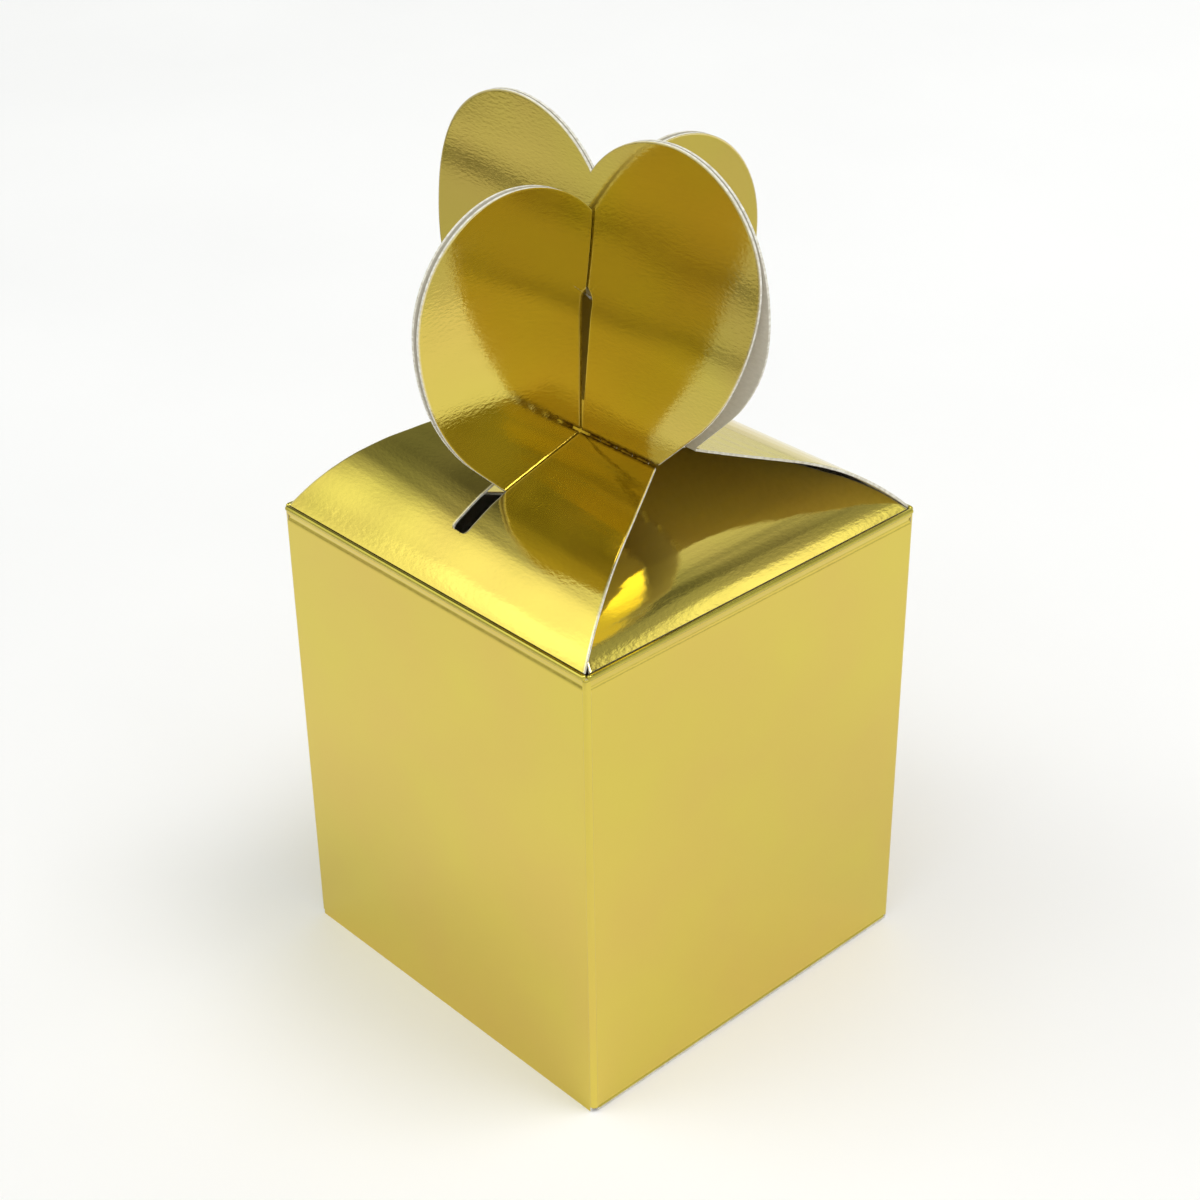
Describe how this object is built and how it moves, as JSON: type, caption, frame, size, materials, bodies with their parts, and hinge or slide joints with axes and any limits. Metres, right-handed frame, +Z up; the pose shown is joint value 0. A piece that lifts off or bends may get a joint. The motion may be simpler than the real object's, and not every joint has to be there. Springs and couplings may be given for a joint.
{
  "type": "favor box",
  "caption": "Square favor box of gold foil card with arched roof flaps whose hearts slot together into an upright heart-shaped top, and a tuck-in bottom.",
  "frame": {"origin": "middle of the underside of the bottom panel, on the surface the box stands on", "axes": "+Z up, -Y out of the front wall, which the bottom tucks in behind, +X out of the right wall"},
  "size_m": [0.0654, 0.0654, 0.134],
  "materials": {
    "foil_card": "mirror gold foil on the outside, white uncoated card on the inside and at cut edges",
    "score_line": "gold foil pressed along a score, slightly darker"
  },
  "bodies": {
    "carton": {"front_wall": "foil_card", "right_wall": "foil_card", "back_wall": "foil_card", "left_wall": "foil_card", "front_right_corner": "foil_card", "back_right_corner": "foil_card", "back_left_corner": "foil_card", "front_left_corner": "foil_card", "glue_flap": "foil_card", "front_roof_crease": "score_line", "right_roof_crease": "score_line", "back_roof_crease": "score_line", "left_roof_crease": "score_line", "bottom_crease": "score_line", "right_dust_crease": "score_line", "left_dust_crease": "score_line"},
    "front_flap": {"front_roof": "foil_card", "front_heart_fold": "score_line"},
    "front_heart_panel": {"front_heart": "foil_card"},
    "right_flap": {"right_roof": "foil_card", "right_heart_fold": "score_line"},
    "right_heart_panel": {"right_heart": "foil_card"},
    "back_flap": {"back_roof": "foil_card", "back_heart_fold": "score_line"},
    "back_heart_panel": {"back_heart": "foil_card"},
    "left_flap": {"left_roof": "foil_card", "left_heart_fold": "score_line"},
    "left_heart_panel": {"left_heart": "foil_card"},
    "bottom": {"bottom_panel": "foil_card", "tuck_crease": "score_line"},
    "tuck": {"tuck_flap": "foil_card"},
    "right_dust": {"right_dust_flap": "foil_card"},
    "left_dust": {"left_dust_flap": "foil_card"}
  },
  "joints": [
    {"name": "front_flap_hinge", "type": "hinge", "parent": "carton", "child": "front_flap", "pos_m": [0, -0.0323, 0.075], "axis": [1, 0, 0], "range_deg": [0, 150], "deforming": ["right_heart", "left_heart"]},
    {"name": "right_flap_hinge", "type": "hinge", "parent": "carton", "child": "right_flap", "pos_m": [0.0323, 0, 0.075], "axis": [0, 1, 0], "range_deg": [0, 75]},
    {"name": "back_flap_hinge", "type": "hinge", "parent": "carton", "child": "back_flap", "pos_m": [0, 0.0323, 0.075], "axis": [-1, 0, 0], "range_deg": [0, 150]},
    {"name": "left_flap_hinge", "type": "hinge", "parent": "carton", "child": "left_flap", "pos_m": [-0.0323, 0, 0.075], "axis": [0, -1, 0], "range_deg": [0, 75]},
    {"name": "front_heart_hinge", "type": "hinge", "parent": "front_flap", "child": "front_heart_panel", "pos_m": [0, -0.0036, 0.08905], "axis": [1, 0, 0], "range_deg": [-64.5, 0]},
    {"name": "right_heart_hinge", "type": "hinge", "parent": "right_flap", "child": "right_heart_panel", "pos_m": [0.0005, 0, 0.08269], "axis": [0, 1, 0], "range_deg": [-30, 0]},
    {"name": "back_heart_hinge", "type": "hinge", "parent": "back_flap", "child": "back_heart_panel", "pos_m": [0, 0.0036, 0.08905], "axis": [-1, 0, 0], "range_deg": [-64.5, 0]},
    {"name": "left_heart_hinge", "type": "hinge", "parent": "left_flap", "child": "left_heart_panel", "pos_m": [-0.0005, 0, 0.08269], "axis": [0, -1, 0], "range_deg": [-30, 0]},
    {"name": "bottom_hinge", "type": "hinge", "parent": "carton", "child": "bottom", "pos_m": [0, 0.0323, 0.0003], "axis": [1, 0, 0], "range_deg": [0, 100]},
    {"name": "tuck_hinge", "type": "hinge", "parent": "bottom", "child": "tuck", "pos_m": [0, -0.0315, 0.0003], "axis": [1, 0, 0], "range_deg": [0, 60]},
    {"name": "right_dust_hinge", "type": "hinge", "parent": "carton", "child": "right_dust", "pos_m": [0.0323, 0, 0.0008], "axis": [0, -1, 0], "range_deg": [0, 90]},
    {"name": "left_dust_hinge", "type": "hinge", "parent": "carton", "child": "left_dust", "pos_m": [-0.0323, 0, 0.0008], "axis": [0, 1, 0], "range_deg": [0, 90]}
  ],
  "couplings": [
    {"joint": "right_flap_hinge", "follows": "front_flap_hinge", "ratio": 0.5},
    {"joint": "back_flap_hinge", "follows": "front_flap_hinge", "ratio": 1},
    {"joint": "left_flap_hinge", "follows": "front_flap_hinge", "ratio": 0.5},
    {"joint": "front_heart_hinge", "follows": "front_flap_hinge", "ratio": -0.43},
    {"joint": "right_heart_hinge", "follows": "front_flap_hinge", "ratio": -0.2},
    {"joint": "back_heart_hinge", "follows": "front_flap_hinge", "ratio": -0.43},
    {"joint": "left_heart_hinge", "follows": "front_flap_hinge", "ratio": -0.2},
    {"joint": "tuck_hinge", "follows": "bottom_hinge", "ratio": 0.6},
    {"joint": "right_dust_hinge", "follows": "bottom_hinge", "ratio": 0.9},
    {"joint": "left_dust_hinge", "follows": "bottom_hinge", "ratio": 0.9}
  ]
}
